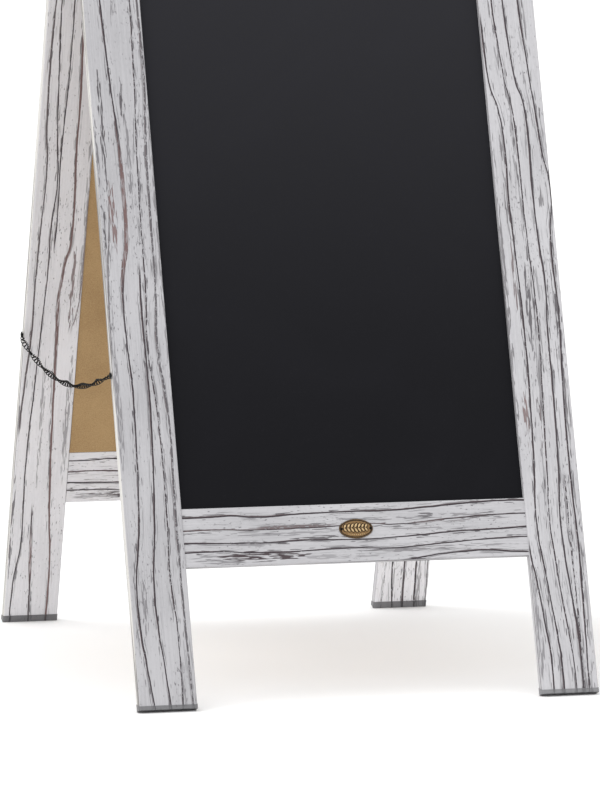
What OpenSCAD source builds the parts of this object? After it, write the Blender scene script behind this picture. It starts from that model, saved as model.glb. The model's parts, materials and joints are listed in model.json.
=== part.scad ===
// A-frame chalkboard sign: two framed panels, hinged along their top edges
// and held from spreading by one slack chain on the left side.
// Millimetres. +Z is up, X runs along the width, the front panel leans on the -Y side.
// The origin is on the floor, under the middle of the sign.

/* [Panels] */
// Overall width of a panel
panel_w = 508; // [420:1:620]
// Length of a panel from foot to top edge, along its slope
panel_h = 1016; // [860:1:1200]
// Width of each stile, seen from the front
stile_w = 63.5; // [50:0.5:76]
// Thickness of a stile
stile_t = 12; // [11.5:0.5:15]
// Height of the top and bottom rails
rail_h = 63.5; // [50:0.5:76]
// Thickness of a rail
rail_t = 9.5; // [9:0.5:11]
// How far a rail's inner face is set back from the stiles' inner faces
rail_inset = 0.8; // [0.4:0.1:1.5]
// Length of leg below the bottom rail
leg_h = 152.4; // [120:0.2:180]
// Radius of a stile's eased edges
stile_edge = 1.5; // [0.5:0.1:2]
// Radius of a rail's eased edges
rail_edge = 0.8; // [0.3:0.1:1]

/* [Boards] */
// Thickness of the fibre backing board
backing_t = 4.5; // [3:0.1:5]
// Thickness of the black writing sheet bonded to the backing
sheet_t = 0.5; // [0.3:0.1:1]
// Wood left behind the groove that holds the boards
back_lip = 1.5; // [1.2:0.1:2]
// How far the boards enter the groove
groove_depth = 6; // [4:0.5:8]

/* [Fold] */
// Lean of each panel from upright when the sign stands open
half_angle = 19.3; // [16:0.1:22]
// Gap from the hinge axis to each panel's inner face
face_gap = 0.6; // [0.6:0.1:1]

/* [Hinges] */
// Distance of each hinge's middle from the sign's middle
hinge_x = 140; // [100:1:160]
// Length of a hinge
hinge_len = 38; // [32:1:50]
// Width of a leaf, from the hinge axis to its free edge
leaf_w = 10.2; // [9:0.1:10.4]
// Thickness of a leaf
leaf_t = 1.2; // [1:0.1:1.5]
// Outside radius of the knuckles
knuckle_r = 2.2; // [2:0.1:2.6]
// Radius of the hinge pin
pin_r = 1.1; // [0.8:0.1:1.3]
// Distance between the two screws of a leaf
leaf_screw_gap = 22; // [16:1:26]

/* [Chain] */
// Height of the two chain screws along the panels
chain_screw_v = 365; // [330:0.5:420]
// How far the slack chain hangs below its chord at mid span
chain_sag = 30; // [20:1:45]
// Distance between neighbouring links
link_pitch = 9; // [8:0.5:10]
// Number of links in the straight run at the bottom of the loop
bottom_links = 3; // [3:1:5]
// Outside width of a link
link_w = 6.6; // [5:0.1:7]
// Diameter of the link wire
link_wire = 1.1; // [0.9:0.1:1.1]
// Radius of the plain tube that stands for a length of chain
strand_r = 0.55; // [0.45:0.05:0.55]

/* [Feet] */
// Height above the floor of the dipped band's level top edge
band_h = 7.8; // [6:0.1:12]
// Thickness of the dipped skin on the leg's sides
skin_t = 0.5; // [0.3:0.1:0.6]
// Thickness of the dipped sole under the leg
sole_t = 1; // [0.8:0.1:1.5]
// Depth of sole worn flat where the foot meets the floor
wear = 0.5; // [0.3:0.1:0.6]

/* [Badge] */
// Width of the oval badge
badge_w = 37.5; // [30:0.5:45]
// Height of the oval badge
badge_h = 21.5; // [16:0.5:26]
// Thickness of the badge
badge_t = 1.2; // [0.8:0.1:1.5]
// Height of the badge's middle along the panel
badge_v = 188; // [182:1:192]

/* [Hidden] */

$fn = 32;
FRONT = -1;
REAR = 1;
LEFT = -1;
RIGHT = 1;
play = 0.05;                     // clearance of a dowel, screw or board in its seat
cut = 1;                         // how far a cutting solid runs past a face
hole_room = 0.5;                 // empty depth left below a screw or nail
fine = 96;                       // sides of the largest round shapes
wash = [0.82, 0.82, 0.84];       // whitewashed wood
fibre = [0.64, 0.53, 0.37];
slate = [0.12, 0.12, 0.14];
beech = [0.80, 0.66, 0.46];
dip = [0.42, 0.42, 0.43];
bronze = [0.55, 0.42, 0.22];
black = [0.08, 0.08, 0.08];

inner_w = panel_w - 2 * stile_w; // clear width between the stiles
top_rail_v = panel_h - rail_h;
opening_v0 = leg_h + rail_h;     // lower edge of the board opening
rail_mid_n = rail_inset + rail_t / 2;
pin_lift = knuckle_r + 0.1;      // height of the hinge axis above the top edges
pin_v = panel_h + pin_lift;
pin_z = pin_v * cos(half_angle) - (face_gap - skin_t) * sin(half_angle) - wear;

dowel_r = 3;
dowel_half = 14.5;               // half of a dowel's length
dowel_seat = 15;                 // depth of each dowel hole
dowel_steps = [14, 38];          // heights of a joint's dowels above the rail's plain edge
groove_room = 0.5;               // extra depth of groove beyond the boards' edges

screw_r = 1.3;                   // hinge screws
screw_len = 16;
screw_head_r = 2.4;
knuckle_gap = 0.3;               // between knuckles, and from the barrel to a leaf's flat
leaf_root = 1;                   // how far a knuckle's web runs into the leaf
pin_head_over = 0.7;             // how far a pin's head stands out past the pin
pin_head_t = 1;
pin_end_gap = 0.2;               // from the last knuckle to a pin's head
chain_screw_r = 1.5;
chain_screw_len = 14;
chain_head_r = 3.8;
chain_head_h = 1.3;
chain_gap = 1.4;                 // room under a chain screw's head
slot_w = 0.8;                    // driver slot
slot_depth = 1;
screw_n = stile_t / 2;
nail_r = 0.6;
nail_len = 7;
nail_head_r = 1.5;
nail_head_h = 0.8;
nail_x = badge_w / 2 - 2.6;
badge_end_r = 7;                 // radius of the badge's two ends

// ---- places ----------------------------------------------------------------------

// Puts children, drawn as [x, outward from the inner face, up from the foot], on a panel.
module on_panel(side) {
    mirror([0, side == FRONT ? 1 : 0, 0])
        translate([0, 0, pin_z])
            rotate([half_angle, 0, 0])
                translate([0, face_gap, -pin_v])
                    children();
}

// The world [y, z] of a point on a panel.
function panel_yz(side, n, v) =
    let (y = (face_gap + n) * cos(half_angle) - (v - pin_v) * sin(half_angle))
    [side * y, pin_z + (face_gap + n) * sin(half_angle) + (v - pin_v) * cos(half_angle)];

// ---- plain shapes ----------------------------------------------------------------

// A bar's cross-section with eased edges, from [0, 0] to [w, t].
module eased_section(w, t, r) {
    translate([r, 0]) square([w - 2 * r, t]);
    translate([0, r]) square([w, t - 2 * r]);
    for (x = [r, w - r], y = [r, t - r]) translate([x, y]) circle(r);
}

// A dowel or its hole, lying along X across the joint of a rail and a stile.
module across_joint(side_x, v, r, half) {
    translate([side_x * inner_w / 2, rail_mid_n, v]) rotate([0, 90, 0])
        cylinder(r = r, h = 2 * half, center = true);
}

module dowel_holes(side_x, from_v) {
    for (step = dowel_steps) across_joint(side_x, from_v + step, dowel_r + play, dowel_seat);
}

// The groove that takes the two boards, cut into every edge of the opening.
module board_groove() {
    reach = groove_depth + groove_room;
    thick = backing_t + sheet_t + 2 * play;
    translate([-inner_w / 2 - reach, back_lip - play, opening_v0 - reach])
        cube([inner_w + 2 * reach, thick, top_rail_v - opening_v0 + 2 * reach]);
}

// ---- panel frame -----------------------------------------------------------------

module stile(side, side_x) {
    left = side_x == LEFT ? -panel_w / 2 : inner_w / 2;
    color(wash) on_panel(side) difference() {
        translate([left, 0, sole_t])
            linear_extrude(panel_h - sole_t) eased_section(stile_w, stile_t, stile_edge);
        board_groove();
        dowel_holes(side_x, leg_h);
        mirror_rail_up() dowel_holes(side_x, 0);
        if (side_x == LEFT) at_chain_screw() translate([0, 0, -chain_screw_len])
            cylinder(r = chain_screw_r + play, h = chain_screw_len + cut);
    }
}

// Turns a height above the foot into a height below the top edge.
module mirror_rail_up() {
    translate([0, 0, panel_h]) mirror([0, 0, 1]) children();
}

module rail_blank(from_v) {
    translate([-inner_w / 2, rail_inset, from_v]) rotate([90, 0, 90])
        linear_extrude(inner_w) eased_section(rail_t, rail_h, rail_edge);
}

module bottom_rail(side, has_badge) {
    color(wash) on_panel(side) difference() {
        rail_blank(leg_h);
        board_groove();
        for (side_x = [LEFT, RIGHT]) dowel_holes(side_x, leg_h);
        if (has_badge) for (side_x = [LEFT, RIGHT])
            translate([side_x * nail_x, rail_inset + rail_t + cut, badge_v]) rotate([90, 0, 0])
                cylinder(r = nail_r + play, h = nail_len + cut);
    }
}

module top_rail(side) {
    color(wash) on_panel(side) difference() {
        rail_blank(top_rail_v);
        board_groove();
        mirror_rail_up() for (side_x = [LEFT, RIGHT]) dowel_holes(side_x, 0);
        at_hinge_screws() translate([0, 0, -screw_len])
            cylinder(r = screw_r + play, h = screw_len + cut);
    }
}

module dowels(side) {
    color(beech) on_panel(side) for (side_x = [LEFT, RIGHT], step = dowel_steps) {
        across_joint(side_x, leg_h + step, dowel_r, dowel_half);
        across_joint(side_x, panel_h - step, dowel_r, dowel_half);
    }
}

// ---- boards ----------------------------------------------------------------------

module board(side, from_n, thick) {
    on_panel(side)
        translate([-inner_w / 2 - groove_depth, from_n, opening_v0 - groove_depth])
            cube([inner_w + 2 * groove_depth, thick, top_rail_v - opening_v0 + 2 * groove_depth]);
}

module backing(side) {
    color(fibre) board(side, back_lip, backing_t);
}

module chalkboard(side) {
    color(slate) board(side, back_lip + backing_t, sheet_t);
}

// ---- feet ------------------------------------------------------------------------

// A rubbery skin that the leg's end was dipped in, its top edge level with the floor.
module foot(side, side_x) {
    left = side_x == LEFT ? -panel_w / 2 : inner_w / 2;
    color(dip) intersection() {
        on_panel(side) difference() {
            translate([left - skin_t, -skin_t, 0])
                linear_extrude(2 * band_h)
                    eased_section(stile_w + 2 * skin_t, stile_t + 2 * skin_t, stile_edge + skin_t);
            translate([left, 0, sole_t])
                linear_extrude(2 * band_h) eased_section(stile_w, stile_t, stile_edge);
        }
        translate([-panel_w, -panel_h, 0]) cube([2 * panel_w, 2 * panel_h, band_h]);
    }
}

// ---- hinges ----------------------------------------------------------------------

module at_hinge_screws() {
    for (side_x = [LEFT, RIGHT], end = [-1, 1])
        translate([side_x * hinge_x + end * leaf_screw_gap / 2, rail_mid_n, panel_h]) children();
}

module screw_head(extra) {
    cylinder(r1 = screw_r + extra, r2 = screw_head_r + extra, h = leaf_t);
}

// A leaf lies on the rail's top edge. Its knuckles fill the given stretches of the barrel.
module leaf(side, side_x, knuckles) {
    flat_n = knuckle_r + knuckle_gap;
    color(bronze) on_panel(side) difference() {
        translate([side_x * hinge_x, -face_gap, pin_v]) {
            translate([-hinge_len / 2, flat_n, -pin_lift]) cube([hinge_len, leaf_w - flat_n, leaf_t]);
            for (k = knuckles) {
                translate([k[0], 0, 0]) rotate([0, 90, 0]) cylinder(r = knuckle_r, h = k[1] - k[0]);
                translate([k[0], 0, -pin_lift]) cube([k[1] - k[0], knuckle_r + leaf_root, leaf_t]);
            }
        }
        translate([side_x * hinge_x, -face_gap, pin_v]) rotate([0, 90, 0])
            cylinder(r = pin_r + play, h = hinge_len + 2 * cut, center = true);
        at_hinge_screws() {
            screw_head(play);
            translate([0, 0, -cut]) cylinder(r = screw_r + play, h = leaf_t + 2 * cut);
        }
    }
}

knuckle_third = hinge_len / 3;
middle_knuckle = [[-knuckle_third / 2, knuckle_third / 2]];
outer_knuckles = [
    [-hinge_len / 2, -knuckle_third / 2 - knuckle_gap],
    [knuckle_third / 2 + knuckle_gap, hinge_len / 2]
];

module hinge_pin(side_x) {
    head_at = hinge_len / 2 + pin_end_gap + pin_head_t / 2;
    color(bronze) translate([side_x * hinge_x, 0, pin_z]) rotate([0, 90, 0]) {
        cylinder(r = pin_r, h = 2 * head_at, center = true);
        for (end = [-1, 1]) translate([0, 0, end * head_at])
            cylinder(r = pin_r + pin_head_over, h = pin_head_t, center = true);
    }
}

module hinge_screws(side) {
    color(bronze) on_panel(side) at_hinge_screws() {
        screw_head(0);
        translate([0, 0, hole_room - screw_len]) cylinder(r = screw_r, h = screw_len - hole_room);
    }
}

// ---- chain -----------------------------------------------------------------------

screw_a = panel_yz(FRONT, screw_n, chain_screw_v);
screw_b = panel_yz(REAR, screw_n, chain_screw_v);
chain_out = 2.1;                 // from the stiles' side to the plane of the bottom links
eye_out = 0.7;                   // from the stiles' side to the eyes under the screw heads
pass_out = 1.3;                  // from the bottom links' plane to each strand's free end
eye_overlap = 0.4;               // how far a tube runs into the rim of its eye
span = norm(screw_b - screw_a);
eye_t = (link_w / 2 - eye_overlap) / span;
t_front = 0.5 - bottom_links * link_pitch / span / 2;
t_rear = 1 - t_front;

// The slack chain's curve as [y, z], from the front screw at t = 0 to the rear one at t = 1.
function chain_yz(t) = screw_a + (screw_b - screw_a) * t - [0, 4 * chain_sag * t * (1 - t)];

// A closed tube of eight sides along points that run from -Y to +Y.
module swept_tube(path, r) {
    sides = 8;
    last = len(path) - 1;
    function along(i) = let (d = path[min(i + 1, last)] - path[max(i - 1, 0)]) d / norm(d);
    points = [for (i = [0:last], k = [0:sides - 1])
        let (d = along(i), side_dir = [1, 0, 0], up = cross(side_dir, d) / norm(cross(side_dir, d)))
        path[i] + r * (cos(360 * k / sides) * side_dir + sin(360 * k / sides) * up)];
    walls = [for (i = [0:last - 1], k = [0:sides - 1])
        let (n = (k + 1) % sides)
        [i * sides + k, i * sides + n, (i + 1) * sides + n, (i + 1) * sides + k]];
    start = [for (k = [0:sides - 1]) sides - 1 - k];
    end = [for (k = [0:sides - 1]) last * sides + k];
    polyhedron(points, concat(walls, [start, end]));
}

// A point of the chain, from its share of the curve and its distance from the stiles' side.
function chain_point(t, out) = [-panel_w / 2 - out, chain_yz(t)[0], chain_yz(t)[1]];

// The round eye that turns on a screw, or on the neighbouring run of chain.
module eye(t, out) {
    translate(chain_point(t, out)) rotate([0, 90, 0]) difference() {
        cylinder(r = link_w / 2, h = link_wire, center = true);
        cylinder(r = chain_screw_r + play, h = link_wire + 2 * cut, center = true);
    }
}

// A run of chain, from an eye at t0 and out0 to one at t1 and out1.
module run(t0, out0, t1, out1, rings) {
    color(black) {
        eye(t0, out0);
        eye(t1, out1);
        swept_tube([for (i = [0:rings])
            let (t = t0 + eye_t + (t1 - t0 - 2 * eye_t) * i / rings)
            chain_point(t, out0 + (out1 - out0) * (t - t0) / (t1 - t0))], strand_r);
    }
}

module chain_front() {
    run(0, eye_out, t_front, chain_out + pass_out, 24);
}

module chain_bottom() {
    run(t_front, chain_out, t_rear, chain_out, 2);
}

module chain_rear() {
    run(t_rear, chain_out - pass_out, 1, eye_out, 24);
}

// Puts children, drawn as pointing up out of the wood, at a panel's chain screw.
module at_chain_screw() {
    translate([-panel_w / 2, screw_n, chain_screw_v]) rotate([0, -90, 0]) children();
}

module chain_screw(side) {
    color(black) on_panel(side) at_chain_screw() {
        translate([0, 0, hole_room - chain_screw_len])
            cylinder(r = chain_screw_r, h = chain_screw_len - hole_room + chain_gap);
        translate([0, 0, chain_gap]) round_head(chain_head_r, chain_head_h);
    }
}

// A domed head with a straight slot.
module round_head(r, h) {
    dome_r = (r * r + h * h) / (2 * h);
    difference() {
        rotate_extrude() intersection() {
            translate([0, h - dome_r]) circle(dome_r, $fn = fine);
            square([r, h]);
        }
        translate([-r - cut, -slot_w / 2, h - slot_depth]) cube([2 * (r + cut), slot_w, slot_depth + cut]);
    }
}

// ---- badge -----------------------------------------------------------------------

// An oval of four arcs: two flat ones, and a round one at each end that runs on smoothly.
module oval(w, h, end_r) {
    end_x = w / 2 - end_r;
    side_r = (end_x * end_x + h * h / 4 - end_r * end_r) / (h - 2 * end_r);
    meet_x = end_x * side_r / (side_r - end_r);
    intersection() {
        translate([0, h / 2 - side_r]) circle(side_r, $fn = fine);
        translate([0, side_r - h / 2]) circle(side_r, $fn = fine);
        square([2 * meet_x, h], center = true);
    }
    for (end = [-1, 1]) translate([end * end_x, 0]) circle(end_r, $fn = fine);
}

module badge_plate() {
    color(bronze) on_panel(FRONT) translate([0, rail_inset + rail_t + badge_t, badge_v])
        rotate([90, 0, 0]) difference() {
            linear_extrude(badge_t) oval(badge_w, badge_h, badge_end_r);
            for (side_x = [LEFT, RIGHT]) translate([side_x * nail_x, 0, -cut])
                cylinder(r = nail_r + play, h = badge_t + 2 * cut);
        }
}

module badge_nails() {
    color(black) on_panel(FRONT) for (side_x = [LEFT, RIGHT])
        translate([side_x * nail_x, rail_inset + rail_t + badge_t, badge_v]) rotate([-90, 0, 0]) {
            translate([0, 0, hole_room - nail_len]) cylinder(r = nail_r, h = nail_len - hole_room);
            round_nail_head();
        }
}

module round_nail_head() {
    rotate_extrude() intersection() {
        circle(nail_head_r);
        square([nail_head_r, nail_head_h]);
    }
}

// ---- nodes -----------------------------------------------------------------------

stile(FRONT, LEFT);  // front_left_stile
stile(FRONT, RIGHT);  // front_right_stile
top_rail(FRONT);  // front_top_rail
bottom_rail(FRONT, true);  // front_bottom_rail
backing(FRONT);  // front_backing
chalkboard(FRONT);  // front_chalkboard
dowels(FRONT);  // front_dowels
foot(FRONT, LEFT);  // front_left_foot
foot(FRONT, RIGHT);  // front_right_foot
stile(REAR, LEFT);  // rear_left_stile
stile(REAR, RIGHT);  // rear_right_stile
top_rail(REAR);  // rear_top_rail
bottom_rail(REAR, false);  // rear_bottom_rail
backing(REAR);  // rear_backing
chalkboard(REAR);  // rear_chalkboard
dowels(REAR);  // rear_dowels
foot(REAR, LEFT);  // rear_left_foot
foot(REAR, RIGHT);  // rear_right_foot
leaf(FRONT, LEFT, middle_knuckle);  // left_hinge_front_leaf
leaf(REAR, LEFT, outer_knuckles);  // left_hinge_rear_leaf
hinge_pin(LEFT);  // left_hinge_pin
leaf(FRONT, RIGHT, middle_knuckle);  // right_hinge_front_leaf
leaf(REAR, RIGHT, outer_knuckles);  // right_hinge_rear_leaf
hinge_pin(RIGHT);  // right_hinge_pin
hinge_screws(FRONT);  // front_hinge_screws
hinge_screws(REAR);  // rear_hinge_screws
chain_screw(FRONT);  // front_chain_screw
chain_screw(REAR);  // rear_chain_screw
chain_front();
chain_bottom();
chain_rear();
badge_plate();
badge_nails();
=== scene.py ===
"""A whitewashed A-frame chalkboard sign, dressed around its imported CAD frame.

Lengths in the wood's materials, on the panels and on the badge are millimetres, and everything else
is metres. On a panel, u runs across it (world X), v runs up its slope from the foot, and n runs
outward from its inner face.
"""

import json
import math

import bmesh
import bpy
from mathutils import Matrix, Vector


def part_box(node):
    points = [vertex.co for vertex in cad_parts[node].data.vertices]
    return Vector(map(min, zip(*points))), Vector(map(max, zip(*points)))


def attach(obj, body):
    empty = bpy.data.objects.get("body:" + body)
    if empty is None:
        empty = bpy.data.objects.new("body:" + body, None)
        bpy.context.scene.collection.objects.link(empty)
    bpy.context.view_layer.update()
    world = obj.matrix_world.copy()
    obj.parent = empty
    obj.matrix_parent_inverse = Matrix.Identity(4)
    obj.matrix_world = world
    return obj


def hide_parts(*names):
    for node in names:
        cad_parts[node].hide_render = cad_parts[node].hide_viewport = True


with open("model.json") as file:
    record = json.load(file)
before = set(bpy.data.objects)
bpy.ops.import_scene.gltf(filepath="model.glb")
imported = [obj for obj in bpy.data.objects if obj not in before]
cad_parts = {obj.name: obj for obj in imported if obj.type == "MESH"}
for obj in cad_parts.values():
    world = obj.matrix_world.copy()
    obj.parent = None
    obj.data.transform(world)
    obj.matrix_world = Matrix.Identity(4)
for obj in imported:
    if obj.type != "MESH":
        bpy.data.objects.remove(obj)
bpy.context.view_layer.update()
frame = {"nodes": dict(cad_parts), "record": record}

MM = 0.001
FRONT, REAR = -1, 1

JOINTS = {joint["name"]: joint for joint in frame["record"]["behaviour"]["joints"]}
PIN = Vector(JOINTS["fold"]["pos_m"])
LEAN = math.radians(-JOINTS["fold"]["range_deg"][0] / 2)
STILE_LOW, STILE_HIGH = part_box("front_left_stile")
PANEL_LEFT = STILE_LOW[0] / MM
STILE_W = (STILE_HIGH[0] - STILE_LOW[0]) / MM
RAIL_T = 9.5
RAIL_INSET = 0.8                # from a panel's inner face to a rail's
RAIL_H = 63.5
RAIL_REACH = 192.0              # half length over which a rail's grain is drawn
LEG_H = 152.4                   # clear leg under the bottom rail
PANEL_H = 1016.0
PIN_V = PANEL_H + 2.3           # v of the hinge pins
FACE_GAP = 0.6                  # from the pins' axis to a panel's inner face
BADGE_V = 188.0                 # v of the badge's middle


# ---- panel geometry ---------------------------------------------------------------

def panel_axes(side):
    """World directions of a panel's v and n."""
    along = Vector((0, -side * math.sin(LEAN), math.cos(LEAN)))
    outward = Vector((0, side * math.cos(LEAN), math.sin(LEAN)))
    return along, outward


def panel_point(side, u, n, v):
    """World place of a panel point given in millimetres."""
    along, outward = panel_axes(side)
    return PIN + Vector((u, 0, 0)) * MM + along * (v - PIN_V) * MM + outward * (n + FACE_GAP) * MM


# ---- shader writing ---------------------------------------------------------------

class Graph:
    """Adds shader nodes to a tree as plain expressions."""

    def __init__(self, material):
        material.use_nodes = True
        self.tree = material.node_tree
        self.tree.nodes.clear()

    def node(self, kind, **settings):
        made = self.tree.nodes.new(kind)
        for name, value in settings.items():
            setattr(made, name, value)
        return made

    def feed(self, socket, value):
        if isinstance(value, bpy.types.NodeSocket):
            self.tree.links.new(value, socket)
        else:
            socket.default_value = value

    def math(self, operation, *values, clamp=False):
        made = self.node("ShaderNodeMath", operation=operation, use_clamp=clamp)
        for socket, value in zip(made.inputs, values):
            self.feed(socket, value)
        return made.outputs[0]

    def add(self, a, b):
        return self.math("ADD", a, b)

    def sub(self, a, b):
        return self.math("SUBTRACT", a, b)

    def mul(self, a, b):
        return self.math("MULTIPLY", a, b)

    def larger(self, a, b):
        return self.math("MAXIMUM", a, b)

    def dot(self, a, b):
        made = self.node("ShaderNodeVectorMath", operation="DOT_PRODUCT")
        self.feed(made.inputs[0], a)
        self.feed(made.inputs[1], b)
        return made.outputs["Value"]

    def shifted(self, vector, offset):
        made = self.node("ShaderNodeVectorMath", operation="ADD")
        self.feed(made.inputs[0], vector)
        self.feed(made.inputs[1], offset)
        return made.outputs[0]

    def xyz(self, x, y, z):
        made = self.node("ShaderNodeCombineXYZ")
        for socket, value in zip(made.inputs, (x, y, z)):
            self.feed(socket, value)
        return made.outputs[0]

    def noise(self, vector, scale=1.0, detail=2.0, roughness=0.5, distortion=0.0):
        made = self.node("ShaderNodeTexNoise")
        made.inputs["Scale"].default_value = scale
        made.inputs["Detail"].default_value = detail
        made.inputs["Roughness"].default_value = roughness
        made.inputs["Distortion"].default_value = distortion
        self.feed(made.inputs["Vector"], vector)
        return made.outputs["Fac"]

    def ramp(self, value, start, end, low=0.0, high=1.0):
        """A smooth step of value from low at start to high at end."""
        made = self.node("ShaderNodeMapRange", interpolation_type="SMOOTHSTEP")
        for socket, item in zip(made.inputs, (value, start, end, low, high)):
            self.feed(socket, item)
        return made.outputs[0]

    def curve(self, value, points):
        """A smooth curve through (x, y) points, all between 0 and 1."""
        made = self.node("ShaderNodeFloatCurve")
        line = made.mapping.curves[0]
        made.mapping.use_clip = False
        for x, y in points[1:-1]:
            line.points.new(x, y)
        line.points[0].location = points[0]
        line.points[len(points) - 1].location = points[-1]
        made.mapping.update()
        self.feed(made.inputs["Value"], value)
        return made.outputs[0]

    def mix(self, factor, a, b):
        made = self.node("ShaderNodeMix", data_type="RGBA")
        self.feed(made.inputs[0], factor)
        self.feed(made.inputs[6], a)
        self.feed(made.inputs[7], b)
        return made.outputs[2]

    def surface(self, color, roughness, height=None, depth=0.0, **plain):
        """The finished shader. What is the same everywhere is set on its own sockets."""
        shader = self.node("ShaderNodeBsdfPrincipled")
        self.feed(shader.inputs["Base Color"], color)
        self.feed(shader.inputs["Roughness"], roughness)
        for name, value in plain.items():
            shader.inputs[name.replace("_", " ")].default_value = value
        if height is not None:
            bump = self.node("ShaderNodeBump")
            bump.inputs["Strength"].default_value = 1.0
            bump.inputs["Distance"].default_value = depth
            self.feed(bump.inputs["Height"], height)
            self.tree.links.new(bump.outputs[0], shader.inputs["Normal"])
        output = self.node("ShaderNodeOutputMaterial")
        self.tree.links.new(shader.outputs[0], output.inputs["Surface"])


def srgb(red, green, blue):
    """A linear colour from everyday 0 to 255 values."""
    def linear(value):
        value /= 255
        return value / 12.92 if value <= 0.04045 else ((value + 0.055) / 1.055) ** 2.4
    return (linear(red), linear(green), linear(blue), 1.0)


def new_graph(name):
    material = bpy.data.materials.new(name)
    return material, Graph(material)


# ---- whitewashed wood -------------------------------------------------------------

EDGE_WASH = srgb(198, 196, 192)
GRAIN_DARK = srgb(46, 38, 44)
GRAIN_RED = srgb(112, 88, 86)
THIN, THICK = 0.32, 0.50        # half width of a line where it is thin and where it swells, of its width
CORE = 0.82                     # share of that half width that is fully dark
FADE_PAST, FADE_WITHIN = 6, 14  # how far past its loose end a line fades out, and from where inside it
PULL = 0.08                     # how much more of the fine streaks shows close beside a line
TREMBLE = 1.5                   # how far the lines waver across the wood
SCAR = 0.17                     # how much more of the fine streaks shows in a worn place
OUTER_EDGE = (253.0, 253.6)     # distances from the sign's middle between which the edge wash sets in
BRUSH_SHADE = 16                # how many greys darker the wash is where the brush left less of it
WOOD_RELIEF = 0.0007            # depth of a bare grain line
DIP_COVER = 0.82                # how much of the wood a foot's skin hides


class Grain:
    """One dark grain line: its route is a list of (along, across) in millimetres.

    feather is the reach of the fine streaks beside it, gaps how much of it is worn thin, and dark and
    red how strong these are, all but feather from 0 to 1. bulge is (along, half length, extra width)
    of a stretch where the line opens into brown wood.
    """

    def __init__(self, route, width=2.0, dark=0.97, feather=2.5, gaps=0.35, red=0.0, bulge=None):
        self.route = route
        self.width = width
        self.dark = dark
        self.feather = feather
        self.gaps = gaps
        self.red = red
        self.bulge = bulge


class Patch:
    """A worn place where streaks of bare grain show, as an oval in millimetres."""

    def __init__(self, along, across, length, width, dark=0.6, red=0.0):
        self.along = along
        self.across = across
        self.length = length
        self.width = width
        self.dark = dark
        self.red = red


FRONT_LEFT_GRAIN = [
    Grain([(0, 17.6), (50, 11.8), (100, 7.6), (130, 7.5), (165, 11.4), (200, 15.6), (300, 20), (350, 20.6),
           (400, 18.4), (450, 18.2), (480, 21), (515, 27.2), (550, 28), (620, 27), (690, 22.6),
           (860, 17), (1016, 21)], width=2.3, feather=3.0, bulge=(540, 125, 3.2)),
    Grain([(380, 1), (450, 2.4), (480, 4), (510, 7.4), (560, 11)], width=1.6, dark=0.7),
    Grain([(0, 35), (50, 31), (100, 27), (130, 26.6), (175, 30.4), (200, 32.6), (300, 37.6), (350, 38.4),
           (440, 37.4), (485, 39)], width=2.2, gaps=0.3),
    Grain([(0, 47.6), (80, 48.6), (150, 45), (200, 46.6), (300, 46.4), (350, 43.6), (395, 40.6), (450, 43.4),
           (550, 44.6), (620, 46.4), (690, 49.6), (850, 52), (1016, 46)], width=1.7, gaps=0.45),
    Grain([(0, 59), (150, 56.6), (250, 57), (300, 58), (350, 55), (400, 51.4), (450, 54.4), (550, 55.6),
           (620, 57), (690, 60.6), (860, 58), (1016, 61)], width=3.1, dark=0.8, feather=2.4, gaps=0.45),
]
FRONT_LEFT_PATCHES = [
    Patch(538, 14, 42, 5, dark=0.85, red=0.9),
    Patch(635, 10, 85, 3.2, dark=0.8),
    Patch(600, 2.7, 50, 1.8, dark=0.6),
    Patch(668, 33.5, 28, 2.4, dark=0.8),
    Patch(600, 37, 70, 3, dark=0.5),
    Patch(110, 15, 34, 3.5, dark=0.5),
    Patch(330, 3.5, 80, 4, dark=0.45),
    Patch(525, 4, 42, 1.8, dark=0.8),
    Patch(520, 62, 190, 1.6, dark=0.5),
    Patch(840, 32, 100, 5, dark=0.4),
]
FRONT_RIGHT_GRAIN = [
    Grain([(0, 25), (35, 25), (60, 23.4), (100, 19.4), (150, 14.4), (185, 11.4), (250, 14.4), (300, 16.4),
           (400, 17.8), (500, 15.4), (550, 14), (610, 15), (650, 11.4), (685, 3.4), (760, 1)],
          width=2.3, feather=3.0),
    Grain([(0, 13.2), (30, 14), (75, 10.4), (125, 5.4), (170, 0.4)], width=2.2),
    Grain([(0, 38.8), (30, 38.8), (60, 36.6), (100, 32.4), (150, 28.4), (190, 26.2), (225, 27.8),
           (300, 30.4), (420, 34), (500, 30.8), (560, 29.8), (620, 29), (650, 27.4), (690, 21),
           (820, 14), (1016, 18)], width=1.9, feather=3.5, gaps=0.4),
    Grain([(0, 46.4), (50, 47), (100, 43.8), (150, 39.8), (185, 38.4), (250, 42), (350, 44), (400, 44),
           (450, 46.4), (500, 43.4), (550, 42), (625, 42.8), (655, 41), (690, 33), (820, 27), (1016, 33)],
          width=2.6, dark=0.95, gaps=0.25),
    Grain([(0, 47), (60, 48.2), (100, 48.4), (175, 47.4), (240, 47.8)], width=2.0, gaps=0.5),
    Grain([(0, 53), (100, 55.4), (150, 56), (250, 54.4), (350, 55.8), (420, 58.8), (475, 57), (505, 57.4),
           (555, 62.4), (600, 57), (650, 53.4), (690, 50), (830, 44), (1016, 50)],
          width=2.2, feather=4.0, gaps=0.35),
]
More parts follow.
